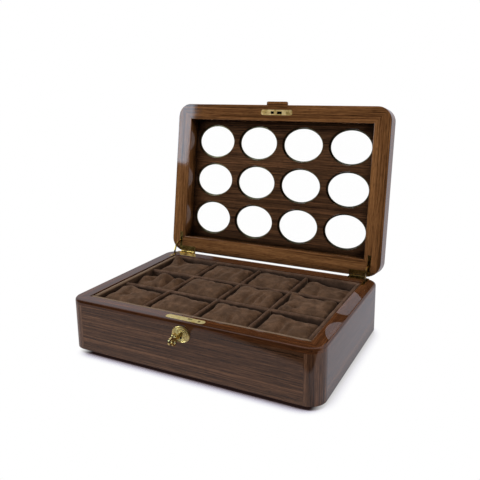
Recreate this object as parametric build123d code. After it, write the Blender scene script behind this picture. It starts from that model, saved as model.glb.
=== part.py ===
# Watch organizer box: a lined wooden case for twelve watches. Its lid has an oval window over
# each compartment, opens on two quadrant hinges and is held shut by a lock in the front wall.
# Millimetres. X runs to the right, Y to the back and Z up. The origin is on the table, at the
# middle of the footprint. The lid is drawn shut, then turned open about its hinge pins.
import os
from math import asin, degrees

from build123d import *

# Case, outside
box_width = 340.0
box_depth = 235.0
base_height = 70.0  # table to the face that meets the lid
lid_height = 27.0
lid_gap = 0.3  # air between base and lid when shut
lid_open_angle = 99.0
corner_radius = 20.0  # upright corners, seen from above
side_wall = 19.0
end_wall = 18.5  # front and rear walls
edge_round = 3.0  # outer long edges
arris = 0.8  # small rounding of the other long edges

# Underside and floor
felt_thickness = 1.0
board_thickness = 3.0
foot_setback = 6.0  # felt and board behind the walls
floor_thickness = 4.0
rim_height = 6.0  # mitred frame on top of the walls

# Lining, dividers and cushions
floor_lining = 2.0
lining_thickness = 6.5
lining_drop = 0.8  # top of the lining below the rim
lining_round = 1.5
columns = 4
rows = 3
divider_thickness = 4.5
divider_drop = 3.0
cushion_drop = 8.0  # highest point of a cushion below the rim
cushion_crown = 8.0  # how much lower its corners are
cushion_side_gap = 1.0
cushion_seat_gap = 0.3
cushion_corner = 9.0
cushion_edge = 4.0

# Lid frame and windows
rail_width = 23.5
panel_thickness = 7.5
window_web = 8.5  # wood between two windows
window_row_draw = 2.2  # the rows stand this much closer than the compartments
window_shoulder = 5.0  # wood between the panel's inner face and the glass
glass_lip = 2.0  # glass held past the edge of the hole
glass_thickness = 1.7
ring_thickness = 2.0
ring_depth = 1.3
keeper_depth = 0.8
glazing_clearance = 0.1

# Lift tab in the front rail
tab_width = 33.0
tab_thickness = 3.0
tab_proud = 5.0
tab_inset = 5.0
tab_corner = 2.0

# Quadrant hinges
hinge_inset = 13.5  # side of the case to the outer edge of the leg
arm_length = 30.0
arm_width = 8.0
leg_length = 30.0
leg_width = 5.0
leaf_thickness = 2.0
pin_behind = 1.2  # pin axis behind the rear wall
pin_diameter = 2.2
pin_clearance = 0.05
barrel_diameter = 4.6
barrel_length = 24.0
barrel_inset = 1.0  # barrel from the inner end of the arm
knuckles = 5
knuckle_gap = 0.2
knuckle_root = 1.0  # knuckle's foot laid over its leaf
swing_clearance = 0.3
inlay_clearance = 0.05

# Stay arms, which stop the lid
stay_radius = 17.0
stay_width = 3.0
stay_thickness = 1.5
stud_diameter = 3.0
stud_length = 3.2
stay_clearance = 0.4
stay_slot_start = 8.0  # from the pin axis, along the leg
stay_slot_end = 24.0
stay_end_room = 7.0  # degrees of free cavity past each stud

# Lock in the front wall
lock_setback = 10.0  # front face to the middle of the lock plate
lock_plate_length = 53.0
lock_plate_width = 9.0
lock_plate_thickness = 2.0
plate_end_flat = 0.01  # a full round end keeps this much of a straight
lock_screw_spacing = 37.2
case_length = 44.0
case_height = 26.0
case_wall = 1.0
layer_gap = 0.3
keyhole_drop = 15.0  # rim to the middle of the keyhole
keyhole_diameter = 4.6
keyhole_slot = 2.8
keyhole_length = 5.6  # middle of the hole to the foot of the slot
cam_diameter = 16.0
cam_thickness = 3.0
cam_ring_width = 1.0
hook_pivot_x = -5.5
hook_pivot_drop = 8.0
hook_pivot_diameter = 2.5
hook_hub_diameter = 5.2
hook_thickness = 2.5
claw_inner = 12.0
claw_outer = 14.5
claw_start = -35.0  # degrees about the pivot, drawn back
claw_end = 31.0
claw_web = 21.0  # degrees of the claw that are filled back to the hub
claw_web_inset = 0.5
claw_clearance = 0.7

# Strike plate in the lid
strike_corner = 3.0
strike_length = 50.0
strike_width = 8.0
strike_thickness = 1.5
strike_setback = 11.0
strike_screw_spacing = 34.0
strike_slot_left = 0.6
strike_slot_right = 8.4
strike_hole_left = -9.4
strike_hole_right = -4.2
strike_pocket_depth = 7.0
strike_pocket_left = -4.0

# Escutcheon and key
escutcheon_width = 24.0
escutcheon_height = 20.0
escutcheon_thickness = 1.0
escutcheon_pin_spacing = 14.4
escutcheon_pin_drop = 1.0
key_stem_diameter = 3.6
key_clearance = 0.1
bit_length = 5.0  # stem axis to the tip of the bit
bit_thickness = 2.0
bow_reach = 17.0  # front face to the middle of the bow
bow_thickness = 2.4
bow_lobe_radius = 4.2
bow_lobe_offset = 4.2
bow_hole_radius = 2.1
key_collar_diameter = 5.6
key_collar_length = 1.6

# Small screws
screw_head_diameter = 3.6
screw_head_height = 1.0
screw_shank_diameter = 1.8
screw_length = 9.0
screw_slot_width = 0.6
screw_slot_depth = 0.5
screw_margin = 1.0  # wood or metal kept beside a screw head
pin_head_diameter = 1.8
pin_head_height = 0.5
pin_shank_diameter = 1.1
pin_length = 4.0
screw_clearance = 0.05

# Places worked out from the sizes
front_y = -box_depth / 2
rear_y = box_depth / 2
side_x = box_width / 2
board_top = felt_thickness + board_thickness
floor_top = board_top + floor_thickness
seat_z = floor_top + floor_lining
rim_bottom = base_height - rim_height
inner_x = side_x - side_wall
inner_y = rear_y - end_wall
lined_x = inner_x - lining_thickness
lined_y = inner_y - lining_thickness
pitch_x = (2 * lined_x + divider_thickness) / columns
pitch_y = (2 * lined_y + divider_thickness) / rows
window_row_pitch = pitch_y - window_row_draw
window_width = pitch_x - window_web
window_height = window_row_pitch - window_web
divider_top = base_height - divider_drop
lid_bottom = base_height + lid_gap
lid_top = lid_bottom + lid_height
panel_bottom = lid_top - panel_thickness
pin_y = rear_y + pin_behind
pin_z = base_height + lid_gap / 2
hinge_axis = Axis((0, pin_y, pin_z), (1, 0, 0))
leg_outer_x = side_x - hinge_inset
leg_inner_x = leg_outer_x - leg_width
leg_middle_x = leg_outer_x - leg_width / 2
arm_inner_x = leg_outer_x - arm_length
barrel_x = arm_inner_x + barrel_inset
knuckle_length = barrel_length / knuckles
stud_angle = degrees(
    asin((lid_gap / 2 + leaf_thickness + stud_diameter / 2 + stay_clearance / 2) / stay_radius)
)
lock_y = front_y + lock_setback
case_front = lock_y - lock_plate_width / 2
cam_y = case_front + case_wall + layer_gap
hook_y = cam_y + cam_thickness + layer_gap
case_back = hook_y + hook_thickness + layer_gap + case_wall
case_top = base_height - lock_plate_thickness
keyhole_z = base_height - keyhole_drop
hook_pivot_z = base_height - hook_pivot_drop
strike_y = front_y + strike_setback
tab_bottom = lid_bottom


# A box between two corners.
def block(x0, x1, y0, y1, z0, z1):
    size = Box(x1 - x0, y1 - y0, z1 - z0)
    return Pos((x0 + x1) / 2, (y0 + y1) / 2, (z0 + z1) / 2) * size


# The outline of the case between two heights, drawn in by an even setback.
def outline(z0, z1, setback=0.0):
    face = RectangleRounded(
        box_width - 2 * setback, box_depth - 2 * setback, corner_radius - setback
    )
    return Pos(0, 0, z0) * extrude(face, z1 - z0)


# A cylinder along X or along Y, from a centre and between two ends.
def rod_x(diameter, x0, x1, y, z):
    return Pos((x0 + x1) / 2, y, z) * Rot(0, 90, 0) * Cylinder(diameter / 2, x1 - x0)


def rod_y(diameter, y0, y1, x, z):
    return Pos(x, (y0 + y1) / 2, z) * Rot(90, 0, 0) * Cylinder(diameter / 2, y1 - y0)


# One side of a mitred frame, as a prism whose ends run out at 45 degrees from inner corners.
def mitre(side, wide, deep):
    corners = {
        "front": [(-1, -1), (1, -1)],
        "right": [(1, -1), (1, 1)],
        "rear": [(1, 1), (-1, 1)],
        "left": [(-1, 1), (-1, -1)],
    }[side]
    inner = [(sx * (side_x - wide), sy * (rear_y - deep)) for sx, sy in corners]
    reach = wide + deep
    outer = [(x + sx * reach, y + sy * reach) for (x, y), (sx, sy) in zip(inner, corners)]
    return extrude(Polygon(*outer, *reversed(inner), align=None), lid_top)


# Frame of the case outline with a square opening, its outer and inner edges rounded.
def frame(z0, z1, wide, deep, rounded, eased):
    opening = block(-side_x + wide, side_x - wide, front_y + deep, rear_y - deep, z0, z1)
    ring = outline(z0, z1) - opening
    levels = {z0: ring.faces().sort_by(Axis.Z)[0], z1: ring.faces().sort_by(Axis.Z)[-1]}
    rounds = list(levels[rounded].outer_wire().edges())
    ring = fillet(rounds, edge_round)
    face = ring.faces().sort_by(Axis.Z)[-1 if eased == z1 else 0]
    edges = [edge for wire in face.inner_wires() for edge in wire.edges()]
    if eased != rounded:
        edges += list(face.outer_wire().edges())
    return fillet(edges, arris)


# A countersunk wood screw with its head at the origin and its shank down, and its hole.
def screw(grow=0.0):
    head = Pos(0, 0, -screw_head_height / 2) * Cone(
        screw_shank_diameter / 2 + grow, screw_head_diameter / 2 + grow, screw_head_height
    )
    shank = Pos(0, 0, -screw_length / 2) * Cylinder(
        screw_shank_diameter / 2 + grow, screw_length + 2 * grow
    )
    return head + shank


# A screw with the cross cut in its head, as it is seen.
def slotted_screw():
    slot = Box(screw_head_diameter, screw_slot_width, 2 * screw_slot_depth)
    return screw() - slot


# A domed pin along Y with its head at the front face of the plate, and its hole.
def small_pin(x, y, z, grow=0.0):
    head = rod_y(pin_head_diameter + 2 * grow, y - pin_head_height, y, x, z)
    shank = rod_y(pin_shank_diameter + 2 * grow, y, y + pin_length + grow, x, z)
    return head + shank


def keyhole(diameter, slot, length, y0, y1):
    hole = rod_y(diameter, y0, y1, 0, keyhole_z)
    return hole + block(-slot / 2, slot / 2, y0, y1, keyhole_z - length, keyhole_z)


# A band about the hinge pins. Angles start at the rim and rise towards the front of the lid.
def stay_band(inner, outer, start, end, x0, x1):
    arc_out = CenterArc((pin_y, pin_z), outer, 180 - end, end - start)
    arc_in = CenterArc((pin_y, pin_z), inner, 180 - end, end - start)
    ends = [Line(arc_out @ 0, arc_in @ 0), Line(arc_out @ 1, arc_in @ 1)]
    face = Plane.YZ * make_face([arc_out, arc_in] + ends)
    return Pos(x0, 0, 0) * extrude(face, x1 - x0)


# Room for a stay arm under the leaves: below the rim when sign is -1, in the lid when it is 1.
def stay_cavity(sign):
    room = stay_width / 2 + stay_clearance + (stud_diameter - stay_width) / 2
    reach = lid_open_angle / 2 + stud_angle + stay_end_room
    half = stud_length / 2 + stay_clearance
    return stay_band(
        stay_radius - room,
        stay_radius + room,
        min(0, sign * reach),
        max(0, sign * reach),
        leg_middle_x - half,
        leg_middle_x + half,
    )


def barrel_room():
    diameter = barrel_diameter + 2 * swing_clearance
    ends = swing_clearance
    return rod_x(diameter, barrel_x - ends, barrel_x + barrel_length + ends, pin_y, pin_z)


# Places of the screws in one hinge leaf, on the right side.
def hinge_screw_spots():
    arm_y = rear_y - arm_width / 2
    leg_y = rear_y - leg_length + screw_head_diameter
    first_x = arm_inner_x + screw_head_diameter + screw_margin
    return [(first_x, arm_y), (leg_inner_x - screw_head_diameter, arm_y), (leg_middle_x, leg_y)]


def leaf_plate(z0, z1, grow=0.0):
    arm = block(arm_inner_x - grow, leg_outer_x + grow, rear_y - arm_width - grow, rear_y, z0, z1)
    leg = block(
        leg_inner_x - grow, leg_outer_x + grow, rear_y - leg_length - grow, rear_y, z0, z1
    )
    return (arm + leg) & outline(z0, z1)


def knuckle_rods(indices, diameter, ends):
    rods = []
    for i in indices:
        x0 = barrel_x + i * knuckle_length
        rods.append(rod_x(diameter, x0 + ends, x0 + knuckle_length - ends, pin_y, pin_z))
    return rods


# One leaf of the right hinge. Its own knuckles grow from the plate, and it clears the others.
def hinge_leaf(z0, z1, screw_turn, own, others):
    leaf = leaf_plate(z0, z1)
    slot_half = stay_thickness / 2 + stay_clearance / 2
    leaf -= block(
        leg_middle_x - slot_half,
        leg_middle_x + slot_half,
        pin_y - stay_slot_end,
        pin_y - stay_slot_start,
        z0,
        z1,
    )
    face_z = z0 if screw_turn else z1
    for x, y in hinge_screw_spots():
        leaf -= Pos(x, y, face_z) * Rot(screw_turn, 0, 0) * screw(screw_clearance)
    for i in own:
        x0 = barrel_x + i * knuckle_length + knuckle_gap / 2
        leaf += block(x0, x0 + knuckle_length - knuckle_gap, rear_y - knuckle_root, pin_y, z0, z1)
    for rod in knuckle_rods(own, barrel_diameter, knuckle_gap / 2):
        leaf += rod
    for rod in knuckle_rods(others, barrel_diameter + 2 * swing_clearance, -knuckle_gap / 2):
        leaf -= rod
    bore = pin_diameter + 2 * pin_clearance
    return leaf - rod_x(bore, barrel_x, barrel_x + barrel_length, pin_y, pin_z)


def stay_arm():
    end = lid_open_angle + stud_angle
    half = stay_thickness / 2
    arm = stay_band(
        stay_radius - stay_width / 2,
        stay_radius + stay_width / 2,
        -stud_angle,
        end,
        leg_middle_x - half,
        leg_middle_x + half,
    )
    middle = CenterArc(
        (pin_y, pin_z), stay_radius, 180 - end, lid_open_angle + 2 * stud_angle
    )
    for point in (middle @ 0, middle @ 1):
        x0 = leg_middle_x - stud_length / 2
        arm += rod_x(stud_diameter, x0, x0 + stud_length, point.X, point.Y)
    return arm


# What a hinge leaf takes out of the wood, on the right side and closed.
def leaf_mortise(z0, z1, screw_turn):
    room = leaf_plate(z0, z1, inlay_clearance)
    face_z = z0 if screw_turn else z1
    for x, y in hinge_screw_spots():
        room += Pos(x, y, face_z) * Rot(screw_turn, 0, 0) * screw(screw_clearance)
    return room


def both_sides(shape):
    return [shape, mirror(shape, Plane.YZ)]


def cut(shape, tools):
    for tool in tools:
        shape = shape - tool
    return shape


def opened(shape):
    return shape.rotate(hinge_axis, -lid_open_angle)


leaf_z = (base_height - leaf_thickness, base_height)
lid_leaf_z = (lid_bottom, lid_bottom + leaf_thickness)
base_hinge_cuts = [
    tool
    for shape in (leaf_mortise(*leaf_z, 0), barrel_room(), stay_cavity(-1))
    for tool in both_sides(shape)
]
lid_hinge_cuts = [
    tool
    for shape in (leaf_mortise(*lid_leaf_z, 180), barrel_room(), stay_cavity(1))
    for tool in both_sides(shape)
]


# Body of the case: four wall panels between upright corner posts.
def wall_ring():
    hollow = block(-inner_x, inner_x, -inner_y, inner_y, board_top, rim_bottom)
    return outline(board_top, rim_bottom) - hollow


def corner_post_boxes():
    boxes = []
    for sx in (-1, 1):
        for sy in (-1, 1):
            post = block(0, corner_radius, 0, corner_radius, board_top, rim_bottom)
            x = side_x - corner_radius if sx > 0 else -side_x
            y = rear_y - corner_radius if sy > 0 else front_y
            boxes.append(Pos(x, y, 0) * post)
    return boxes


def lock_case_room():
    half = case_length / 2 + inlay_clearance
    return block(
        -half,
        half,
        case_front - inlay_clearance,
        case_back + inlay_clearance,
        case_top - case_height - inlay_clearance,
        case_top,
    )


def lock_plate_shape(grow=0.0):
    length = lock_plate_length + 2 * grow
    width = lock_plate_width + 2 * grow
    face = RectangleRounded(length, width, (width - plate_end_flat) / 2)
    return Pos(0, lock_y, case_top) * extrude(face, lock_plate_thickness)


def lock_screw_spots():
    return [(-lock_screw_spacing / 2, lock_y), (lock_screw_spacing / 2, lock_y)]


def lock_screw_holes():
    spots = lock_screw_spots()
    return [Pos(x, y, base_height) * screw(screw_clearance) for x, y in spots]


def make_base():
    parts = {}
    parts["base_felt"] = outline(0, felt_thickness, foot_setback)
    parts["base_board"] = outline(felt_thickness, board_top, foot_setback)
    parts["floor_board"] = block(-inner_x, inner_x, -inner_y, inner_y, board_top, floor_top)

    ring = wall_ring()
    posts = [ring & box for box in corner_post_boxes()]
    parts["corner_posts"] = [cut(post, base_hinge_cuts) for post in posts]
    straight_x = side_x - corner_radius
    straight_y = rear_y - corner_radius
    front = ring & block(-straight_x, straight_x, front_y, -inner_y, board_top, rim_bottom)
    rear = ring & block(-straight_x, straight_x, inner_y, rear_y, board_top, rim_bottom)
    left = ring & block(-side_x, 0, -straight_y, straight_y, board_top, rim_bottom)
    right = ring & block(0, side_x, -straight_y, straight_y, board_top, rim_bottom)
    between = base_hinge_cuts + [front, rear]
    through = keyhole(keyhole_diameter, keyhole_slot, keyhole_length, front_y, case_front)
    front = cut(front, [lock_case_room(), through] + escutcheon_pin_holes())
    parts["front_panel"] = front
    parts["rear_panel"] = cut(rear, base_hinge_cuts)
    parts["left_panel"] = cut(left, between)
    parts["right_panel"] = cut(right, between)

    rim = frame(rim_bottom, base_height, side_wall, end_wall, base_height, base_height)
    lock_cuts = [lock_case_room(), lock_plate_shape(inlay_clearance)] + lock_screw_holes()
    for side in ("front", "rear", "left", "right"):
        piece = rim & mitre(side, side_wall, end_wall)
        tools = lock_cuts if side == "front" else base_hinge_cuts
        parts["rim_" + side] = cut(piece, tools)
    return parts


def escutcheon_pin_spots():
    half = escutcheon_pin_spacing / 2
    return [(-half, keyhole_z - escutcheon_pin_drop), (half, keyhole_z - escutcheon_pin_drop)]


def escutcheon_pin_holes():
    face = front_y - escutcheon_thickness
    return [small_pin(x, face, z, screw_clearance) for x, z in escutcheon_pin_spots()]


# Velvet covered boards inside the case.
def lining_board(x0, x1, y0, y1, top):
    board = block(x0, x1, y0, y1, seat_z, top)
    along = Axis.X if x1 - x0 > y1 - y0 else Axis.Y
    edges = board.edges().filter_by(along).group_by(Axis.Z)[-1]
    return fillet(edges, lining_round)


def make_lining():
    parts = {}
    top = base_height - lining_drop
    parts["lining_floor"] = block(-inner_x, inner_x, -inner_y, inner_y, floor_top, seat_z)
    parts["lining_front"] = lining_board(-inner_x, inner_x, -inner_y, -lined_y, top)
    parts["lining_rear"] = lining_board(-inner_x, inner_x, lined_y, inner_y, top)
    parts["lining_left"] = lining_board(-inner_x, -lined_x, -lined_y, lined_y, top)
    parts["lining_right"] = lining_board(lined_x, inner_x, -lined_y, lined_y, top)

    half = divider_thickness / 2
    names = {1: "long_divider_front", 2: "long_divider_rear"}
    for row in range(1, rows):
        y = -lined_y - half + row * pitch_y
        name = names.get(row, "long_divider_%d" % row)
        parts[name] = lining_board(-lined_x, lined_x, y - half, y + half, divider_top)
    shorts = []
    for row in range(rows):
        y0 = -lined_y + row * pitch_y
        for column in range(1, columns):
            x = -lined_x - half + column * pitch_x
            y1 = y0 + pitch_y - divider_thickness
            shorts.append(lining_board(x - half, x + half, y0, y1, divider_top))
    parts["short_dividers"] = shorts
    return parts


def compartment_centre(column, row):
    half = divider_thickness / 2
    x = -lined_x - half + (column + 0.5) * pitch_x
    y = -lined_y - half + (row + 0.5) * pitch_y
    return x, y


# A soft block with a domed top, a little smaller than its compartment.
def cushion():
    width = pitch_x - divider_thickness - 2 * cushion_side_gap
    depth = pitch_y - divider_thickness - 2 * cushion_side_gap
    bottom = seat_z + cushion_seat_gap
    top = base_height - cushion_drop
    body = Pos(0, 0, bottom) * extrude(
        RectangleRounded(width, depth, cushion_corner), top - bottom
    )
    reach = ((width / 2) ** 2 + (depth / 2) ** 2) ** 0.5
    radius = (reach**2 + cushion_crown**2) / (2 * cushion_crown)
    domed = body & Pos(0, 0, top - radius) * Sphere(radius)
    dome = domed.faces().sort_by(Axis.Z)[-1]
    return fillet(dome.outer_wire().edges(), cushion_edge)


def make_cushions():
    shape = cushion()
    row_names = ["front", "middle", "rear"]
    parts = {}
    for row in range(rows):
        for column in range(columns):
            x, y = compartment_centre(column, row)
            name = row_names[row] if row < len(row_names) else str(row)
            parts["cushion_%s_%d" % (name, column + 1)] = Pos(x, y, 0) * shape
    return parts


# Lock: plate, case, turning cam and swinging hook.
def claw_face(grow=0.0, turn=0.0):
    start = claw_start + turn
    arc_out = CenterArc((0, 0), claw_outer + grow, start, claw_end - claw_start)
    arc_in = CenterArc((0, 0), claw_inner - grow, start, claw_end - claw_start)
    ends = [Line(arc_out @ 0, arc_in @ 0), Line(arc_out @ 1, arc_in @ 1)]
    return make_face([arc_out, arc_in] + ends)


def hook_plane(y):
    return Plane((hook_pivot_x, y, hook_pivot_z), x_dir=(1, 0, 0), z_dir=(0, -1, 0))


def make_lock():
    parts = {}
    slot_left = hook_pivot_x + (claw_inner**2 - hook_pivot_drop**2) ** 0.5 - claw_clearance
    under = hook_pivot_drop - lock_plate_thickness
    slot_right = hook_pivot_x + (claw_outer**2 - under**2) ** 0.5 + claw_clearance
    plate = lock_plate_shape()
    plate -= block(
        slot_left,
        slot_right,
        hook_y - layer_gap,
        hook_y + hook_thickness + layer_gap,
        case_top,
        base_height,
    )
    parts["lock_plate"] = cut(plate, lock_screw_holes())
    parts["lock_screws"] = [
        Pos(x, y, base_height) * slotted_screw() for x, y in lock_screw_spots()
    ]

    bottom = case_top - case_height
    half = case_length / 2
    case = block(-half, half, case_front, case_back, bottom, case_top)
    case -= block(
        -half + case_wall,
        half - case_wall,
        case_front + case_wall,
        case_back - case_wall,
        bottom + case_wall,
        case_top,
    )
    ring_y0 = case_front + case_wall
    ring_y1 = cam_y + cam_thickness
    bearing = cam_diameter + 2 * pin_clearance
    ring = rod_y(bearing + 2 * cam_ring_width, ring_y0, ring_y1, 0, keyhole_z)
    case += ring - rod_y(bearing, ring_y0, ring_y1, 0, keyhole_z)
    case -= keyhole(keyhole_diameter, keyhole_slot, keyhole_length, case_front, ring_y0)
    case += rod_y(
        hook_pivot_diameter, hook_y, case_back - case_wall, hook_pivot_x, hook_pivot_z
    )
    parts["lock_case"] = cut(case, lock_screw_holes())

    cam = rod_y(cam_diameter, cam_y, cam_y + cam_thickness, 0, keyhole_z)
    parts["lock_cam"] = cam - keyhole(
        key_stem_diameter + 2 * key_clearance,
        bit_thickness + 2 * key_clearance,
        bit_length + key_clearance,
        cam_y,
        cam_y + cam_thickness,
    )

    web = Polygon(
        (0, 0),
        Vector(claw_outer - claw_web_inset, 0).rotate(Axis.Z, claw_start),
        Vector(claw_outer - claw_web_inset, 0).rotate(Axis.Z, claw_start + claw_web),
        align=None,
    )
    face = claw_face() + web + Circle(hook_hub_diameter / 2)
    face -= Circle(hook_pivot_diameter / 2 + pin_clearance)
    parts["lock_hook"] = extrude(hook_plane(hook_y + hook_thickness) * face, hook_thickness)
    return parts


# Oval plate over the keyhole, and the key that stands in it.
def make_key():
    parts = {}
    y = front_y - escutcheon_thickness
    outer = Ellipse(escutcheon_width / 2, escutcheon_height / 2)
    plane = Plane((0, front_y, keyhole_z), x_dir=(1, 0, 0), z_dir=(0, -1, 0))
    plate = extrude(plane * outer, escutcheon_thickness)
    plate -= keyhole(keyhole_diameter, keyhole_slot, keyhole_length, y, front_y)
    parts["escutcheon"] = cut(plate, escutcheon_pin_holes())
    parts["escutcheon_pins"] = [small_pin(x, y, z) for x, z in escutcheon_pin_spots()]

    bow_y = front_y - bow_reach
    key_end = cam_y + cam_thickness
    stem = rod_y(key_stem_diameter, bow_y + bow_lobe_offset, key_end, 0, keyhole_z)
    half_bit = bit_thickness / 2
    bit = block(-half_bit, half_bit, cam_y, key_end, keyhole_z - bit_length, keyhole_z)
    collar_y = bow_y + bow_lobe_offset + bow_lobe_radius
    collar = rod_y(key_collar_diameter, collar_y, collar_y + key_collar_length, 0, keyhole_z)
    spots = [Vector(-bow_lobe_offset, 0).rotate(Axis.Z, 120 * i) for i in range(3)]
    bow = Circle(bow_lobe_radius)
    for spot in spots:
        bow += Pos(spot.X, spot.Y) * Circle(bow_lobe_radius)
    for spot in spots:
        bow -= Pos(spot.X, spot.Y) * Circle(bow_hole_radius)
    bow_plane = Plane((-bow_thickness / 2, bow_y, keyhole_z), x_dir=(0, 1, 0), z_dir=(1, 0, 0))
    handle = extrude(bow_plane * bow, bow_thickness)
    parts["key"] = stem + bit + collar + handle
    return parts


# Lid, drawn shut.
def strike_screw_spots():
    return [(-strike_screw_spacing / 2, strike_y), (strike_screw_spacing / 2, strike_y)]


def strike_slots(z0, z1):
    y0 = hook_y - claw_clearance
    y1 = hook_y + hook_thickness + claw_clearance
    right = block(strike_slot_left, strike_slot_right, y0, y1, z0, z1)
    left = block(strike_hole_left, strike_hole_right, y0, y1, z0, z1)
    return right + left


def strike_shape(grow=0.0):
    face = RectangleRounded(
        strike_length + 2 * grow, strike_width + 2 * grow, strike_corner + grow
    )
    return Pos(0, strike_y, lid_bottom) * extrude(face, strike_thickness)


def tab_shape(grow=0.0):
    y0 = front_y - tab_proud
    y1 = front_y + tab_inset
    face = RectangleRounded(tab_width + 2 * grow, y1 - y0 + 2 * grow, tab_corner)
    return Pos(0, (y0 + y1) / 2, tab_bottom) * extrude(face, tab_thickness + grow)


def window_centres():
    spots = []
    for row in range(rows):
        y = (row - (rows - 1) / 2) * window_row_pitch
        spots += [(compartment_centre(column, row)[0], y) for column in range(columns)]
    return spots


# An upright oval disc, larger or smaller than the window all round.
def oval(grow, z0, z1, spot):
    face = Ellipse(window_width / 2 + grow, window_height / 2 + grow)
    return Pos(spot[0], spot[1], z0) * extrude(face, z1 - z0)


def make_lid_frame():
    parts = {}
    frame_ring = frame(lid_bottom, lid_top, rail_width, rail_width, lid_top, lid_bottom)
    strike_holes = [
        Pos(x, y, lid_bottom) * Rot(180, 0, 0) * screw(screw_clearance)
        for x, y in strike_screw_spots()
    ]
    above_strike = lid_bottom + strike_thickness
    pocket_top = lid_bottom + strike_pocket_depth
    pocket = block(
        strike_pocket_left,
        strike_slot_right,
        hook_y - claw_clearance,
        hook_y + hook_thickness + claw_clearance,
        above_strike,
        pocket_top,
    )
    front_cuts = [
        strike_shape(inlay_clearance),
        tab_shape(inlay_clearance),
        strike_slots(above_strike, pocket_top),
        pocket,
    ] + strike_holes
    for side in ("front", "rear", "left", "right"):
        piece = frame_ring & mitre(side, rail_width, rail_width)
        tools = front_cuts if side == "front" else lid_hinge_cuts
        parts["lid_rail_" + side] = cut(piece, tools)
    parts["lift_tab"] = tab_shape()
    strike = strike_shape() - strike_slots(lid_bottom, above_strike)
    parts["strike_plate"] = cut(strike, strike_holes)
    parts["strike_screws"] = [
        Pos(x, y, lid_bottom) * Rot(180, 0, 0) * slotted_screw()
        for x, y in strike_screw_spots()
    ]
    return parts


def make_windows():
    parts = {}
    shoulder_z = panel_bottom + window_shoulder
    ring_z = shoulder_z - ring_depth
    glass_top = shoulder_z + glass_thickness
    keeper_top = glass_top + keeper_depth
    panel = block(
        -side_x + rail_width,
        side_x - rail_width,
        front_y + rail_width,
        rear_y - rail_width,
        panel_bottom,
        lid_top,
    )
    glasses = []
    rings = []
    for spot in window_centres():
        panel -= oval(0, panel_bottom, shoulder_z, spot)
        panel -= oval(glass_lip + glazing_clearance, shoulder_z, lid_top, spot)
        glasses.append(oval(glass_lip, shoulder_z, glass_top, spot))
        ring = oval(-glazing_clearance, ring_z, shoulder_z, spot)
        rings.append(ring - oval(-glazing_clearance - ring_thickness, ring_z, shoulder_z, spot))
        keeper = oval(glass_lip, glass_top, keeper_top, spot)
        rings.append(keeper - oval(0, glass_top, keeper_top, spot))
    parts["lid_panel"] = panel
    parts["window_glass"] = glasses
    parts["window_rings"] = rings
    return parts


def make_hinges():
    base = {}
    lid = {}
    base_own = range(0, knuckles, 2)
    lid_own = range(1, knuckles, 2)
    base_leaf = hinge_leaf(*leaf_z, 0, base_own, lid_own)
    lid_leaf = hinge_leaf(*lid_leaf_z, 180, lid_own, base_own)
    base["right_hinge_base_leaf"], base["left_hinge_base_leaf"] = both_sides(base_leaf)
    lid["right_hinge_lid_leaf"], lid["left_hinge_lid_leaf"] = both_sides(lid_leaf)
    pin = rod_x(pin_diameter, barrel_x, barrel_x + barrel_length, pin_y, pin_z)
    base["hinge_pins"] = both_sides(pin)
    base["right_stay_arm"], base["left_stay_arm"] = both_sides(stay_arm())
    base_screws = []
    lid_screws = []
    for x, y in hinge_screw_spots():
        base_screws += both_sides(Pos(x, y, base_height) * slotted_screw())
        lid_screws += both_sides(Pos(x, y, lid_bottom) * Rot(180, 0, 0) * slotted_screw())
    base["base_hinge_screws"] = base_screws
    lid["lid_hinge_screws"] = lid_screws
    return base, lid


def write(parts):
    os.makedirs("parts", exist_ok=True)
    for name, shape in parts.items():
        solids = shape if isinstance(shape, list) else [shape]
        solids = [solid for piece in solids for solid in piece.solids()]
        export_step(Compound(solids) if len(solids) > 1 else solids[0], "parts/%s.step" % name)


base_hinges, lid_hinges = make_hinges()
fixed = {**make_base(), **make_lining(), **make_cushions(), **make_lock(), **make_key()}
lid = {**make_lid_frame(), **make_windows(), **lid_hinges}
turned = {}
for name, shape in lid.items():
    pieces = shape if isinstance(shape, list) else [shape]
    turned[name] = [opened(piece) for piece in pieces]
write({**fixed, **base_hinges, **turned})
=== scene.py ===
import math

import bmesh
import bpy
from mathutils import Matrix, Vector, noise


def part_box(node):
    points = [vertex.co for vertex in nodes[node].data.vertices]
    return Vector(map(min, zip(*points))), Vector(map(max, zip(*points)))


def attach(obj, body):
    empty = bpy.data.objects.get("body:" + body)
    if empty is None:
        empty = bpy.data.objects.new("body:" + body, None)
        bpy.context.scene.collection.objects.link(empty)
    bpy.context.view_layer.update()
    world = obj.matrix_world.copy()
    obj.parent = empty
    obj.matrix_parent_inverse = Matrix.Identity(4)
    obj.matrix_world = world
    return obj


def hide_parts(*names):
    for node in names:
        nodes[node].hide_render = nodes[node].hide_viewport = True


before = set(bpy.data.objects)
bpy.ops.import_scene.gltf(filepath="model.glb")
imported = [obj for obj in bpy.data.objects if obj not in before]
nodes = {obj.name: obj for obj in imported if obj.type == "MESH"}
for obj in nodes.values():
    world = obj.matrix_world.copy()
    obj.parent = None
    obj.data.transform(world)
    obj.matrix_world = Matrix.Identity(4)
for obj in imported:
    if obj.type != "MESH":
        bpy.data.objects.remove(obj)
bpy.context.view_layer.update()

mm = 0.001


# Colours are written as sRGB hex and turned linear here
def linear(hexColour):
    channels = [int(hexColour[i:i + 2], 16) / 255 for i in (1, 3, 5)]
    return [c / 12.92 if c <= 0.04045 else ((c + 0.055) / 1.055) ** 2.4 for c in channels] + [1.0]


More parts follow.
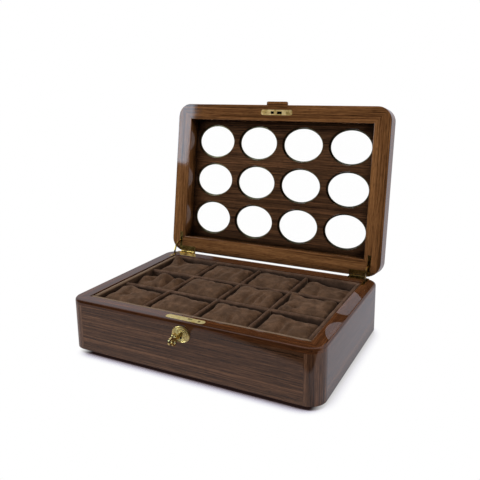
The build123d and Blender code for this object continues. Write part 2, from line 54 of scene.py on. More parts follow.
# One node with its settings and its links; an input is a value or another node's socket
def addNode(tree, kind, settings=None, inputs=None):
    node = tree.nodes.new("ShaderNode" + kind)
    for name, value in (settings or {}).items():
        setattr(node, name, value)
    for name, value in (inputs or {}).items():
        if isinstance(value, bpy.types.NodeSocket):
            tree.links.new(value, node.inputs[name])
        else:
            node.inputs[name].default_value = value
    return node


def newMaterial(name, settings):
    material = bpy.data.materials.new(name)
    material.use_nodes = True
    tree = material.node_tree
    shader = tree.nodes["Principled BSDF"]
    for socket, value in settings.items():
        shader.inputs[socket].default_value = value
    return material, tree, shader


def setRamp(node, stops):
    ramp = node.color_ramp
    while len(ramp.elements) > len(stops):
        ramp.elements.remove(ramp.elements[-1])
    while len(ramp.elements) < len(stops):
        ramp.elements.new(1.0)
    for element, (position, colour) in zip(ramp.elements, stops):
        element.position = position
        element.color = colour


def grey(value):
    return [value, value, value, 1.0]


# Walnut veneer, quarter sliced, under thick rubbed lacquer: fine straight brown lines with the grain,
# broader soft ribbons, short dark pores, and a mirror gloss that takes up the room
veneer = {
    "lineWidth": 1.3,        # mm across the grain, about three rings, so that it shows in the render
    "lineLength": 150,       # mm along the grain
    "ribbonWidth": 9,        # mm, the broader dark and light bands
    "ribbonLength": 700,
    "hairWidth": 0.7,        # mm, drawn twice as wide as real so that it shows
    "hairLength": 24,
    "poreWidth": 0.5,        # mm, drawn wider than a real 0.2 mm pore so that it shows
    "poreLength": 7,
    "waver": 0.0012,         # metres that the lines wander sideways
    "bends": 9,              # bends of that wander in a metre
    "lineShare": 0.55,       # how far the fine lines show over the ribbons
    "hairShare": 0.3,
    "poreShare": 0.7,
    "sinks": 55,             # dips in a metre of the lacquer, which is never quite flat
    "lacquer": {"Roughness": 0.5, "Coat Weight": 1.0, "Coat Roughness": 0.02, "Coat IOR": 1.5,
                "Specular IOR Level": 0.0},
}


# Noise scale that draws a pattern so many mm across the grain and along it
def grainScale(across, along, grain):
    scale = [1 / (across * mm)] * 3
    scale["XYZ".index(grain)] = 1 / (along * mm)
    return scale


def walnutVeneer(name, grain, tones, offset=(0, 0, 0), tilt=0.0, contrast=0.11, polish=0.02,
                 paleLine=None, paintedCornerShade=None):
    material, tree, shader = newMaterial(name, {**veneer["lacquer"], "Coat Roughness": polish})
    place = addNode(tree, "TexCoord").outputs["Object"]
    turned = addNode(tree, "Mapping", inputs={"Vector": place, "Location": offset, "Rotation": (tilt, 0, 0)})
    wander = addNode(tree, "TexNoise", inputs={
        "Vector": turned.outputs["Vector"], "Scale": veneer["bends"], "Detail": 1})
    bent = addNode(tree, "MixRGB", {"blend_type": "LINEAR_LIGHT"}, {
        "Fac": veneer["waver"], "Color1": turned.outputs["Vector"], "Color2": wander.outputs["Color"]})
    bent = bent.outputs["Color"]

    layers = {}
    for layer, detail in (("line", 3), ("ribbon", 2), ("hair", 2), ("pore", 0)):
        scale = grainScale(veneer[layer + "Width"], veneer[layer + "Length"], grain)
        along = addNode(tree, "Mapping", inputs={"Vector": bent, "Scale": scale})
        layers[layer] = addNode(tree, "TexNoise", inputs={
            "Vector": along.outputs["Vector"], "Scale": 1.0, "Detail": detail}).outputs["Fac"]
    broad = addNode(tree, "MixRGB", inputs={
        "Fac": veneer["lineShare"], "Color1": layers["ribbon"], "Color2": layers["line"]})
    grainMap = addNode(tree, "MixRGB", inputs={
        "Fac": veneer["hairShare"], "Color1": broad.outputs["Color"], "Color2": layers["hair"]})
    value = grainMap.outputs["Color"]
    if paleLine:                                  # one straight band of paler wood along the wall
        height = addNode(tree, "SeparateXYZ", inputs={"Vector": bent}).outputs["Z"]
        away = addNode(tree, "Math", {"operation": "SUBTRACT"}, {0: height, 1: paleLine["height"] * mm})
        away = addNode(tree, "Math", {"operation": "ABSOLUTE"}, {0: away.outputs["Value"]})
        band = addNode(tree, "MapRange", {"interpolation_type": "SMOOTHSTEP"}, {
            "Value": away.outputs["Value"], "From Min": 0.0, "From Max": paleLine["width"] * mm,
            "To Min": paleLine["lift"], "To Max": 0.0})
        value = addNode(tree, "Math", {"operation": "ADD"}, {0: value, 1: band.outputs["Result"]})
        value = value.outputs["Value"]
    ramp = addNode(tree, "ValToRGB", inputs={"Fac": value})
    setRamp(ramp, [(0.5 - contrast, linear(tones[0])), (0.5, linear(tones[1])),
                   (0.5 + contrast, linear(tones[2]))])
    poreMask = addNode(tree, "ValToRGB", inputs={"Fac": layers["pore"]})
    setRamp(poreMask, [(0.3, grey(0.5)), (0.42, grey(1.0))])
    wood = addNode(tree, "MixRGB", {"blend_type": "MULTIPLY"}, {
        "Fac": veneer["poreShare"], "Color1": ramp.outputs["Color"],
        "Color2": poreMask.outputs["Color"]})
    if paintedCornerShade:                                   # painted shade: inner corners are darkened by ambient occlusion, whatever the light
        hidden = addNode(tree, "AmbientOcclusion", {"samples": 6}, {"Distance": paintedCornerShade["reach"] * mm})
        cornerShadeRamp = addNode(tree, "ValToRGB", inputs={"Fac": hidden.outputs["AO"]})
        setRamp(cornerShadeRamp, [(paintedCornerShade["full"], grey(paintedCornerShade["dark"])), (paintedCornerShade["none"], grey(1.0))])
        wood = addNode(tree, "MixRGB", {"blend_type": "MULTIPLY"}, {
            "Fac": 1.0, "Color1": wood.outputs["Color"], "Color2": cornerShadeRamp.outputs["Color"]})
    tree.links.new(wood.outputs["Color"], shader.inputs["Base Color"])
    relief = addNode(tree, "Bump", inputs={"Height": layers["line"], "Strength": 0.05, "Distance": 0.2 * mm})
    tree.links.new(relief.outputs["Normal"], shader.inputs["Normal"])
    # hand rubbed lacquer dips a little, which softens the mirror image in it
    sink = addNode(tree, "TexNoise", inputs={"Vector": place, "Scale": veneer["sinks"], "Detail": 1})
    lacquer = addNode(tree, "Bump", inputs={
        "Height": sink.outputs["Fac"], "Strength": 0.04, "Distance": 0.3 * mm})
    tree.links.new(lacquer.outputs["Normal"], shader.inputs["Coat Normal"])
    return material


# Short pile cotton velvet, brushed by hand: matt brown, paler where the pile leans over, and a soft
# light on every edge that turns away
pile = {
    "patch": 13,    # mm, the size of a brushed patch
    "stroke": 4,    # mm, streaks left by fingers
    "tuft": 1.2,    # mm, drawn about three times the real pile so that it shows
    "paintedTopLight": "#6c5a49",      # painted light: the top edge beside the rim is paler, where light falls on it
    "paintedTopLightReach": 2.0,       # mm
    "gapShadeReach": 11,      # mm, reach of the painted shade that darkens narrower gaps and folds
    "strokeShare": 0.35,    # how far the finger streaks show over the patches
    "tuftShare": 0.25,
    "sheenTint": "#a58b76",
    "cloth": {"Roughness": 0.95, "Specular IOR Level": 0.1, "Sheen Weight": 0.32,
              "Sheen Roughness": 0.4},
}


def brushedVelvet(name, dark, middle, light, paintedTopLightAbove=None):
    material, tree, shader = newMaterial(name, pile["cloth"])
    shader.inputs["Sheen Tint"].default_value = linear(pile["sheenTint"])
    place = addNode(tree, "TexCoord").outputs["Object"]
    patches = addNode(tree, "TexNoise", inputs={
        "Vector": place, "Scale": 1 / (pile["patch"] * mm), "Detail": 2, "Roughness": 0.5,
        "Distortion": 0.5})
    strokes = addNode(tree, "TexNoise", inputs={
        "Vector": place, "Scale": 1 / (pile["stroke"] * mm), "Detail": 2, "Distortion": 1.0})
    tufts = addNode(tree, "TexNoise", inputs={"Vector": place, "Scale": 1 / (pile["tuft"] * mm), "Detail": 1})
    brushed = addNode(tree, "MixRGB", inputs={
        "Fac": pile["strokeShare"], "Color1": patches.outputs["Fac"], "Color2": strokes.outputs["Fac"]})
    mixed = addNode(tree, "MixRGB", inputs={
        "Fac": pile["tuftShare"], "Color1": brushed.outputs["Color"], "Color2": tufts.outputs["Fac"]})
    tones = addNode(tree, "ValToRGB", inputs={"Fac": mixed.outputs["Color"]})
    setRamp(tones, [(0.3, linear(dark)), (0.5, linear(middle)), (0.7, linear(light))])
    colour = tones.outputs["Color"]
    if paintedTopLightAbove:                                 # painted light: the top edges are painted paler, where light falls on them
        height = addNode(tree, "SeparateXYZ", inputs={"Vector": place}).outputs["Z"]
        paintedTopLight = addNode(tree, "MapRange", inputs={
            "Value": height, "From Min": paintedTopLightAbove * mm, "From Max": (paintedTopLightAbove + pile["paintedTopLightReach"]) * mm})
        colour = addNode(tree, "MixRGB", inputs={
            "Fac": paintedTopLight.outputs["Result"], "Color1": colour, "Color2": linear(pile["paintedTopLight"])}).outputs["Color"]
    # painted shade: the colour is darkened in gaps and folds by ambient occlusion
    hidden = addNode(tree, "AmbientOcclusion", {"samples": 6}, {"Distance": pile["gapShadeReach"] * mm})
    gaps = addNode(tree, "ValToRGB", inputs={"Fac": hidden.outputs["AO"]})
    setRamp(gaps, [(0.3, grey(0.3)), (0.72, grey(1.0))])
    shaded = addNode(tree, "MixRGB", {"blend_type": "MULTIPLY"}, {
        "Fac": 1.0, "Color1": colour, "Color2": gaps.outputs["Color"]})
    tree.links.new(shaded.outputs["Color"], shader.inputs["Base Color"])
    fluff = addNode(tree, "Bump", inputs={
        "Height": mixed.outputs["Color"], "Strength": 0.4, "Distance": 0.6 * mm})
    tree.links.new(fluff.outputs["Normal"], shader.inputs["Normal"])
    return material


# Brass under clear lacquer: warm yellow with faint rubbing marks. Polished it gives sharp highlights,
# on the lock's plates it is satin, and the hinges and the strike plate are duller
brassMarks = {
    "cloud": 6,         # mm, patches of deeper colour
    "rubbing": 0.8,     # mm, marks of the polishing cloth
    # tarnish and painted shade in the corners of the hinges and the strike plate
    "tarnishAndShade": "#3a2a12",
    "tarnishAndShadeReach": 3,  # mm into a corner, for the tarnish and the painted shade
}


def polishedBrass(name, colour, roughness, marks, paintedCornerShade=False):
    material, tree, shader = newMaterial(name, {"Metallic": 1.0, "Roughness": roughness})
    place = addNode(tree, "TexCoord").outputs["Object"]
    cloud = addNode(tree, "TexNoise", inputs={"Vector": place, "Scale": 1 / (brassMarks["cloud"] * mm),
                                              "Detail": 3})
    tones = addNode(tree, "ValToRGB", inputs={"Fac": cloud.outputs["Fac"]})
    setRamp(tones, [(0.35, linear(marks)), (0.6, linear(colour))])
    brass = tones.outputs["Color"]
    if paintedCornerShade:                                   # tarnish in the corners, and painted shade there too: the colour is darkened by ambient occlusion
        hidden = addNode(tree, "AmbientOcclusion", {"samples": 6}, {
            "Distance": brassMarks["tarnishAndShadeReach"] * mm})
        tarnishAndShade = addNode(tree, "ValToRGB", inputs={"Fac": hidden.outputs["AO"]})
        setRamp(tarnishAndShade, [(0.45, linear(brassMarks["tarnishAndShade"])), (0.85, grey(1.0))])
        brass = addNode(tree, "MixRGB", {"blend_type": "MULTIPLY"}, {
            "Fac": 1.0, "Color1": brass, "Color2": tarnishAndShade.outputs["Color"]}).outputs["Color"]
    tree.links.new(brass, shader.inputs["Base Color"])
    rubbing = addNode(tree, "TexNoise", inputs={
        "Vector": place, "Scale": 1 / (brassMarks["rubbing"] * mm), "Detail": 2})
    spread = addNode(tree, "MapRange", inputs={
        "Value": rubbing.outputs["Fac"], "To Min": roughness * 0.7, "To Max": roughness * 1.5})
    tree.links.new(spread.outputs["Result"], shader.inputs["Roughness"])
    relief = addNode(tree, "Bump", inputs={
        "Height": rubbing.outputs["Fac"], "Strength": 0.08, "Distance": 0.1 * mm})
    tree.links.new(relief.outputs["Normal"], shader.inputs["Normal"])
    return material


# Bright steel sheet, rolled: cool grey with fine lines, hidden inside the lock
def rolledSteel(name):
    material, tree, shader = newMaterial(name, {"Metallic": 1.0, "Roughness": 0.35})
    place = addNode(tree, "TexCoord").outputs["Object"]
    along = addNode(tree, "Mapping", inputs={"Vector": place, "Scale": grainScale(0.4, 12, "X")})
    lines = addNode(tree, "TexNoise", inputs={"Vector": along.outputs["Vector"], "Scale": 1.0, "Detail": 2})
    tones = addNode(tree, "ValToRGB", inputs={"Fac": lines.outputs["Fac"]})
    setRamp(tones, [(0.3, linear("#8d8f92")), (0.7, linear("#b9bbbd"))])
    tree.links.new(tones.outputs["Color"], shader.inputs["Base Color"])
    return material


# Board painted dark brown and felt: matt, with a slight fleck, so that the foot of the box recedes
def mattBoard(name, dark, light, grain):
    material, tree, shader = newMaterial(name, {"Roughness": 0.85, "Specular IOR Level": 0.2})
    place = addNode(tree, "TexCoord").outputs["Object"]
    flecks = addNode(tree, "TexNoise", inputs={"Vector": place, "Scale": 1 / (grain * mm), "Detail": 3})
    tones = addNode(tree, "ValToRGB", inputs={"Fac": flecks.outputs["Fac"]})
    setRamp(tones, [(0.35, linear(dark)), (0.65, linear(light))])
    tree.links.new(tones.outputs["Color"], shader.inputs["Base Color"])
    relief = addNode(tree, "Bump", inputs={
        "Height": flecks.outputs["Fac"], "Strength": 0.3, "Distance": 0.3 * mm})
    tree.links.new(relief.outputs["Normal"], shader.inputs["Normal"])
    return material


# Float glass, clear and thin: it only shows as a faint reflection. Its IOR is low, because a pane
# this thin bends the view less than its two modelled faces do
def clearGlass(name):
    material, tree, shader = newMaterial(name, {
        "Roughness": 0.0, "Transmission Weight": 1.0, "IOR": 1.12, "Base Color": linear("#ffffff")})
    place = addNode(tree, "TexCoord").outputs["Object"]
    ripple = addNode(tree, "TexNoise", inputs={"Vector": place, "Scale": 25, "Detail": 0})
    relief = addNode(tree, "Bump", inputs={
        "Height": ripple.outputs["Fac"], "Strength": 0.02, "Distance": 0.1 * mm})
    tree.links.new(relief.outputs["Normal"], shader.inputs["Normal"])
    return material


lidTilt = math.radians(9)      # the open lid leans back 9 degrees, so its grain is turned upright again
frontTones = ("#2b1b11", "#452d1e", "#694832")
postTones = ("#2e1e15", "#4b3223", "#71503b")
rimTones = ("#2f1a0d", "#4d2d19", "#734829")
lidTones = ("#38220f", "#684325", "#8c5f38")
panelTones = ("#28170f", "#47301f", "#68452d")
frontLine = {"height": 19.6, "width": 2.4, "lift": 0.14}      # mm above the table, mm, share of the ramp
# painted shade in the lid's inner corners and under its rails: reach in mm, occlusion where it is full and
# where none, and how dark
lidPaintedShade = {"reach": 24, "full": 0.5, "none": 0.8, "dark": 0.1}
finishes = {
    "frontVeneer": walnutVeneer("walnutFrontVeneer", "X", frontTones, paleLine=frontLine),
    "sideVeneer": walnutVeneer("walnutSideVeneer", "Y", frontTones, offset=(0.3, 0.1, 0), paleLine=frontLine),
    "postVeneer": walnutVeneer("walnutPostVeneer", "Z", postTones, offset=(0.7, 0.4, 0)),
    "rimLong": walnutVeneer("walnutRimLongVeneer", "X", rimTones, offset=(0.2, 0.5, 0.6), contrast=0.15),
    "rimShort": walnutVeneer("walnutRimShortVeneer", "Y", rimTones, offset=(0.9, 0.3, 0.6), contrast=0.15),
    "railLong": walnutVeneer(
        "walnutRailLongVeneer", "X", lidTones, offset=(0.4, 0.8, 0.1), tilt=lidTilt, polish=0.05,
        paintedCornerShade=lidPaintedShade),
    "railShort": walnutVeneer(
        "walnutRailShortVeneer", "Z", lidTones, offset=(0.1, 0.2, 0.9), tilt=lidTilt, polish=0.05,
        paintedCornerShade=lidPaintedShade),
    "panelVeneer": walnutVeneer(
        "walnutPanelVeneer", "X", panelTones, offset=(0.6, 0.7, 0.3), tilt=lidTilt, paintedCornerShade=lidPaintedShade),
    "tabWood": walnutVeneer("walnutTabWood", "X", lidTones, offset=(0.2, 0.2, 0.2), tilt=lidTilt),
    "velvet": brushedVelvet("brownVelvet", "#32241a", "#4b3728", "#644b39"),
    "boardVelvet": brushedVelvet("brownVelvetOnBoards", "#35271d", "#4c382b", "#634b3b"),
    # the same velvet with painted light on its top edges
    "rubbedVelvet": brushedVelvet("brownVelvetPaintedTopLight", "#35271d", "#4c382b", "#634b3b", paintedTopLightAbove=67),
    "brass": polishedBrass("polishedBrass", "#ffe7a2", 0.18, "#ecc978"),
    "plateBrass": polishedBrass("satinBrassPlate", "#fff0ac", 0.46, "#f2d988"),
    "hingeBrass": polishedBrass("drawnBrassHinge", "#c7a35a", 0.26, "#8a6a31", paintedCornerShade=True),
    "strikeBrass": polishedBrass("brushedBrassStrike", "#f6cb86", 0.4, "#b88b45", paintedCornerShade=True),
    "ringBrass": polishedBrass("satinBrassRing", "#978b66", 0.36, "#6f6648"),
    "steel": rolledSteel("rolledSteel"),
    "board": mattBoard("paintedBoard", "#1a1310", "#2a1f19", 2.5),
    "felt": mattBoard("pressedFelt", "#18120f", "#2b221d", 0.9),
    "glass": clearGlass("floatGlass"),
}
finishOf = {
    "front_panel": "frontVeneer", "rear_panel": "frontVeneer",
    "left_panel": "sideVeneer", "right_panel": "sideVeneer", "corner_posts": "postVeneer",
    "rim_front": "rimLong", "rim_rear": "rimLong", "rim_left": "rimShort", "rim_right": "rimShort",
    "lid_rail_front": "railLong", "lid_rail_rear": "railLong",
    "lid_rail_left": "railShort", "lid_rail_right": "railShort",
    "lid_panel": "panelVeneer", "lift_tab": "tabWood", "base_board": "board", "floor_board": "board",
    "base_felt": "felt", "window_glass": "glass", "window_rings": "ringBrass",
    "lock_case": "steel", "lock_cam": "steel", "lock_hook": "steel",
    "strike_plate": "strikeBrass", "strike_screws": "strikeBrass",
    "escutcheon": "plateBrass", "lock_plate": "plateBrass",
}
velvetNodes = [n for n in nodes if n.startswith(("lining", "cushion")) or "divider" in n]
hingeNodes = [n for n in nodes if "hinge" in n or "stay" in n]
for name, piece in nodes.items():
    finish = "velvet" if name in velvetNodes else "hingeBrass" if name in hingeNodes else "brass"
    finish = finishOf.get(name, finish)
    piece.data.materials.clear()
    piece.data.materials.append(finishes[finish])
print("materials done")


def addPiece(name, mesh, finish, body, stands=()):
    piece = bpy.data.objects.new(name, mesh)
    bpy.context.scene.collection.objects.link(piece)
    mesh.materials.append(finishes[finish])
    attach(piece, body)
    if stands:
        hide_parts(*stands)


# Boxes of the separate solids that one node holds
def solidBoxes(nodeName):
    shape = bmesh.new()
    shape.from_mesh(nodes[nodeName].data)
    bmesh.ops.remove_doubles(shape, verts=shape.verts, dist=1e-6)
    seen, boxes = set(), []
    for start in shape.verts:
        if start in seen:
            continue
        stack, group = [start], []
        seen.add(start)
        while stack:
            vert = stack.pop()
            group.append(vert.co)
            for edge in vert.link_edges:
                other = edge.other_vert(vert)
                if other not in seen:
                    seen.add(other)
                    stack.append(other)
        boxes.append(tuple(Vector([f(c[i] for c in group) for i in range(3)]) for f in (min, max)))
    shape.free()
    return boxes


# Velvet boards: wadding under the cloth makes each board a little thicker than its core, with a full
# round top and sides that are never quite straight
boards = {
    "topRound": 2.6,        # mm, as are the next four
    "wadding": 0.45,
    "longWadding": 0.9,
    "step": 3.5,
    "waver": 0.45,
    "arcSteps": 6,
    "sideSteps": 7,
    "paintedTopLightBoards": ("lining_front", "lining_left"),      # their top edges get painted light, paler
}


def wrappedBoard(shape, low, high, seed, wadding):
    size = high - low
    along = 0 if size.x > size.y else 1
    across = 1 - along
    half = size[across] / 2 + wadding * mm
    middle = (low[across] + high[across]) / 2
    radius = min(boards["topRound"] * mm, half * 0.98)
    profile = [(-half, low.z)]
    for i in range(boards["sideSteps"]):                 # left side, from the foot up
        profile.append((-half, low.z + (size.z - radius) * (i + 1) / boards["sideSteps"]))
    for i in range(1, boards["arcSteps"] + 1):
        turn = math.pi / 2 * i / boards["arcSteps"]
        profile.append((-half + radius - radius * math.cos(turn), high.z - radius + radius * math.sin(turn)))
    profile += [(-x, z) for x, z in reversed(profile)]
    count = max(2, round(size[along] / (boards["step"] * mm)))
    rings = []
    for k in range(count + 1):
        run = low[along] + size[along] * k / count
        ring = []
        for x, z in profile:
            waver = abs(noise.noise(Vector((run * 55, x * 200 + seed, z * 30)))) * boards["waver"] * mm
            rise = min(1.0, (z - low.z) / size.z)
            point = [0, 0, z - waver * rise]
            point[along] = run
            point[across] = middle + x - math.copysign(waver, x)
            ring.append(shape.verts.new(point))
        rings.append(ring)
    for first, second in zip(rings, rings[1:]):
        for i in range(len(profile)):
            j = (i + 1) % len(profile)
            shape.faces.new((first[i], first[j], second[j], second[i]))
    shape.faces.new(list(reversed(rings[0])))
    shape.faces.new(rings[-1])


def finishMesh(shape, name):
    bmesh.ops.recalc_face_normals(shape, faces=shape.faces)
    mesh = bpy.data.meshes.new(name)
    shape.to_mesh(mesh)
    shape.free()
    mesh.polygons.foreach_set("use_smooth", [True] * len(mesh.polygons))
    return mesh


def velvetBoards():
    names = [n for n in nodes if (n.startswith("lining") and n != "lining_floor") or "divider" in n]
    for seed, nodeName in enumerate(sorted(names)):
        shape = bmesh.new()
        wadding = boards["wadding"] if "divider" in nodeName else 0.0
        if nodeName.startswith("long"):
            wadding = boards["longWadding"]
        for low, high in solidBoxes(nodeName):
            wrappedBoard(shape, low, high, seed * 3.7, wadding)
        mesh = finishMesh(shape, nodeName + "Velvet")
        cloth = "rubbedVelvet" if nodeName in boards["paintedTopLightBoards"] else "boardVelvet"
        addPiece(nodeName + "_wrapped", mesh, cloth, "base", [nodeName])


velvetBoards()
print("linings and dividers done")


# Cushions: twelve small velvet pillows, stuffed and pressed by hand into the compartments, so that
# no two lie alike. Each has the height of its crest and of its edge in mm above the table, how far
# back the crest lies (from -1 at the front to 1 at the rear), how much its right end drops, lobes
# (place, reach, height) and folds (start, end, width, depth); places run from -1 to 1 each way
cushionPlan = {
    "cuts": 25,             # loops of cloth each way
    "squareness": 10,       # the higher, the nearer a pillow comes to a block
    "sides": 0.6,           # how much of the crest's height is left where a pillow meets the short dividers
    "waist": 1.6,           # mm that the sides pull in between the corners
    "room": 0.7,            # mm it may stand proud of its solid sideways
    "pressure": 4.0,        # of the stuffing, in the simulation
    "frames": 12,           # that it runs
    "fill": 0.8,            # how firm a pillow is
    "give": 1.4,            # mm that the stuffing may move the cloth
    "creases": 1.0,         # mm, small random creases
    "seam": {"at": 0.9, "width": 0.05, "rise": 0.7},      # sewn edge round the top, mm high
}
cushionForms = {
    "cushion_rear_1": {"crest": 66.0, "edge": 63, "lean": 0.27, "drop": 0, "seed": 1,
                       "lobes": [(-0.8, 0.72, 0.28, 0.42, 9.5), (-0.25, 0.4, 0.2, 0.4, -2.5)],
                       "folds": [(-0.55, 0.9, -0.25, -0.2, 3.0, 2.0)]},
    "cushion_rear_2": {"crest": 69.5, "edge": 61, "lean": 0.30, "drop": 1, "seed": 2,
                       "lobes": [(0.5, 0.5, 0.4, 0.4, 1.0)],
                       "folds": [(-0.42, 0.3, -0.46, -0.9, 2.4, 2.0), (-0.1, 0.1, -0.14, -0.9, 2.2, 1.4),
                                 (0.45, 0.4, 0.3, -0.8, 3.5, 2.4)]},
    "cushion_rear_3": {"crest": 69.0, "edge": 61, "lean": 0.33, "drop": 3, "seed": 3,
                       "lobes": [(-0.35, 0.5, 0.4, 0.4, 1.2)],
                       "folds": [(0.3, 0.5, 0.45, -0.8, 3.0, 1.4)]},
    "cushion_rear_4": {"crest": 67.0, "edge": 60, "lean": 0.27, "drop": 8, "seed": 4,
                       "lobes": [(-0.5, 0.5, 0.35, 0.35, 2.0)],
                       "folds": [(-0.2, 0.2, -0.1, -0.9, 2.6, 1.6)]},
    "cushion_middle_1": {"crest": 61.5, "edge": 58, "lean": 0.18, "drop": 0, "seed": 5,
                         "lobes": [(-0.08, 0.45, 0.34, 0.5, 9.0), (0.7, 0.3, 0.24, 0.5, 7.0),
                                   (-0.84, 0.0, 0.2, 0.45, 7.0), (-0.5, 0.25, 0.12, 0.35, -5.0),
                                   (0.02, -0.62, 0.12, 0.14, -7.0)],
                         "folds": [(0.36, 0.8, 0.32, -0.6, 2.6, 5.0)]},
    "cushion_middle_2": {"crest": 70.0, "edge": 62, "lean": 0.25, "drop": 2, "seed": 6,
                         "lobes": [(-0.35, 0.4, 0.5, 0.5, 1.0)], "folds": []},
    "cushion_middle_3": {"crest": 69.0, "edge": 63, "lean": 0.30, "drop": 0, "seed": 7,
                         "lobes": [(-0.55, 0.7, 0.4, 0.3, 1.5), (0.5, 0.6, 0.3, 0.3, 1.5)],
                         "folds": [(-0.1, 0.1, -0.16, -0.9, 2.4, 3.0), (0.3, 0.2, 0.2, -0.9, 2.2, 4.0),
                                   (0.52, 0.1, 0.5, -0.9, 2.0, 3.0), (0.1, -0.5, 0.3, -0.75, 2.0, 2.0)]},
    "cushion_middle_4": {"crest": 67.0, "edge": 67, "lean": 0.36, "drop": 0, "seed": 8,
                         "lobes": [(-0.86, 0.84, 0.2, 0.24, 4.5), (0.8, 0.8, 0.3, 0.3, 1.5),
                                   (-0.38, -0.42, 0.13, 0.16, -5.5)],
                         "folds": [(-0.38, -0.4, 0.1, -0.9, 2.6, 1.6)]},
    "cushion_front_1": {"crest": 68.5, "edge": 62, "lean": 0.27, "drop": 3, "seed": 9,
                        "lobes": [(-0.45, 0.6, 0.45, 0.4, 2.0), (-0.2, -0.05, 0.16, 0.18, -3.6)],
                        "folds": [(-0.2, -0.1, -0.5, -0.7, 3.0, 1.6)]},
    "cushion_front_2": {"crest": 68.5, "edge": 61, "lean": 0.24, "drop": 3, "seed": 10,
                        "lobes": [(-0.2, 0.5, 0.4, 0.4, 1.5)],
                        "folds": [(-0.78, 0.1, -0.6, -0.8, 2.0, 2.0), (-0.62, 0.2, -0.4, -0.7, 2.0, 1.2)]},
    "cushion_front_3": {"crest": 68.5, "edge": 62, "lean": 0.30, "drop": 2, "seed": 11,
                        "lobes": [(-0.4, 0.5, 0.5, 0.4, 1.0), (0.3, 0.3, 0.4, 0.4, 1.0)],
                        "folds": [(-0.55, 0.3, -0.6, -0.7, 2.4, 2.2), (0.2, -0.2, 0.24, -0.9, 2.2, 2.4)]},
    "cushion_front_4": {"crest": 67.5, "edge": 61, "lean": 0.30, "drop": 6, "seed": 12,
                        "lobes": [(-0.55, 0.5, 0.4, 0.4, 1.5)],
                        "folds": [(-0.2, 0.3, -0.16, -0.8, 2.8, 3.0), (0.1, 0.2, 0.14, -0.8, 2.4, 2.4)]},
}


# Height of a pillow's top at a place from -1 to 1 each way, in mm above the table
def pillowTop(form, u, v, size):
    lean = form["lean"]
    reach = 1 - lean if v > lean else 1 + lean
    across = max(0.0, 1 - abs(u) ** 5)
    along = max(0.0, 1 - abs((v - lean) / reach) ** 3.4)
    sides = cushionPlan["sides"]
    body = along ** 0.5 * (sides + (1 - sides) * across ** 0.5)
    height = form["edge"] + (form["crest"] - form["edge"] - form["drop"] * (u + 1) / 2) * body
    for atU, atV, reachU, reachV, rise in form["lobes"]:
        height += rise * math.exp(-((u - atU) / reachU) ** 2 - ((v - atV) / reachV) ** 2)
    here = Vector((u * size.x / 2, v * size.y / 2))
    for u0, v0, u1, v1, width, depth in form["folds"]:
        start = Vector((u0 * size.x / 2, v0 * size.y / 2))
        run = Vector((u1 * size.x / 2, v1 * size.y / 2)) - start
        share = max(0.0, min(1.0, (here - start).dot(run) / run.length_squared))
        away = (here - start - run * share).length / (width * mm)
        height -= depth * math.sin(math.pi * (0.15 + 0.7 * share)) * math.exp(-away ** 2)
    seam = cushionPlan["seam"]
    rim = max(abs(u), abs(v))
    height += seam["rise"] * math.exp(-((rim - seam["at"]) / seam["width"]) ** 2)
    crease = noise.noise(Vector((u * 5.5, v * 2.2, form["seed"] * 7.3)))
    fine = noise.noise(Vector((u * 9, v * 7, form["seed"])))
    return height + cushionPlan["creases"] * (crease + 0.6 * fine)


# A rounded block whose top is the pillow's own form, flat underneath where it rests
def cushionBlank(low, high, form):
    size, centre = high - low, (low + high) / 2
    waist, power = cushionPlan["waist"] * mm, cushionPlan["squareness"]
    middle = low.z + 0.5 * (form["edge"] * mm - low.z)
    shape = bmesh.new()
    bmesh.ops.create_cube(shape, size=2.0)
    bmesh.ops.subdivide_edges(shape, edges=shape.edges, cuts=cushionPlan["cuts"], use_grid_fill=True)
    for vert in shape.verts:
        p = vert.co
        p = p / sum(abs(c) ** power for c in p) ** (1 / power)
        inX = waist * (1 - p.y ** 2) * abs(p.x) * p.x
        inY = waist * (1 - p.x ** 2) * abs(p.y) * p.y
        top = pillowTop(form, p.x, p.y, size) * mm
        z = middle + p.z * (top - middle) if p.z > 0 else middle + p.z * (middle - low.z)
        vert.co = Vector((centre.x + p.x * size.x / 2 - inX, centre.y + p.y * size.y / 2 - inY, z))
    return shape


def stuff(pieces, plan):
    scene = bpy.context.scene
    for piece in pieces:
        cloth = piece.modifiers.new("stuffing", "CLOTH")
        cloth.settings.quality = 4
        cloth.settings.use_pressure = True
        cloth.settings.uniform_pressure_force = plan["pressure"]
        cloth.settings.effector_weights.gravity = 0
        cloth.settings.tension_stiffness = 12
        cloth.settings.bending_stiffness = 0.4
        cloth.point_cache.frame_end = plan["frames"]
    for step in range(1, plan["frames"] + 1):
        scene.frame_set(step)
    graph = bpy.context.evaluated_depsgraph_get()
    for piece in pieces:
        swollen = bpy.data.meshes.new_from_object(piece.evaluated_get(graph))
        for before, after in zip(piece.data.vertices, swollen.vertices):
            move = after.co - before.co
            if move.length > plan["give"] * mm:
                after.co = before.co + move.normalized() * plan["give"] * mm
        piece.modifiers.clear()
        piece.data = swollen
    scene.frame_set(1)


def makeCushions():
    pieces = []
    for nodeName, form in cushionForms.items():
        low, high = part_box(nodeName)
        mesh = finishMesh(cushionBlank(Vector(low), Vector(high), form), nodeName + "Velvet")
        piece = bpy.data.objects.new(nodeName + "_sleeve", mesh)
        bpy.context.scene.collection.objects.link(piece)
        pieces.append(piece)
    stuff(pieces, cushionPlan)
    for piece, nodeName in zip(pieces, cushionForms):
        low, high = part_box(nodeName)
        room = cushionPlan["room"] * mm
        for vert in piece.data.vertices:
            vert.co.z = max(vert.co.z, low[2])           # flat where it rests on the floor lining
            for i in (0, 1):
                vert.co[i] = min(max(vert.co[i], low[i] - room), high[i] + room)
        piece.data.polygons.foreach_set("use_smooth", [True] * len(piece.data.polygons))
        piece.data.materials.clear()
        piece.data.materials.append(finishes["velvet"])
        smooth = piece.modifiers.new("smooth", "SUBSURF")
        smooth.levels = smooth.render_levels = 1
        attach(piece, nodeName)
        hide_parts(nodeName)


makeCushions()
print("cushions done")


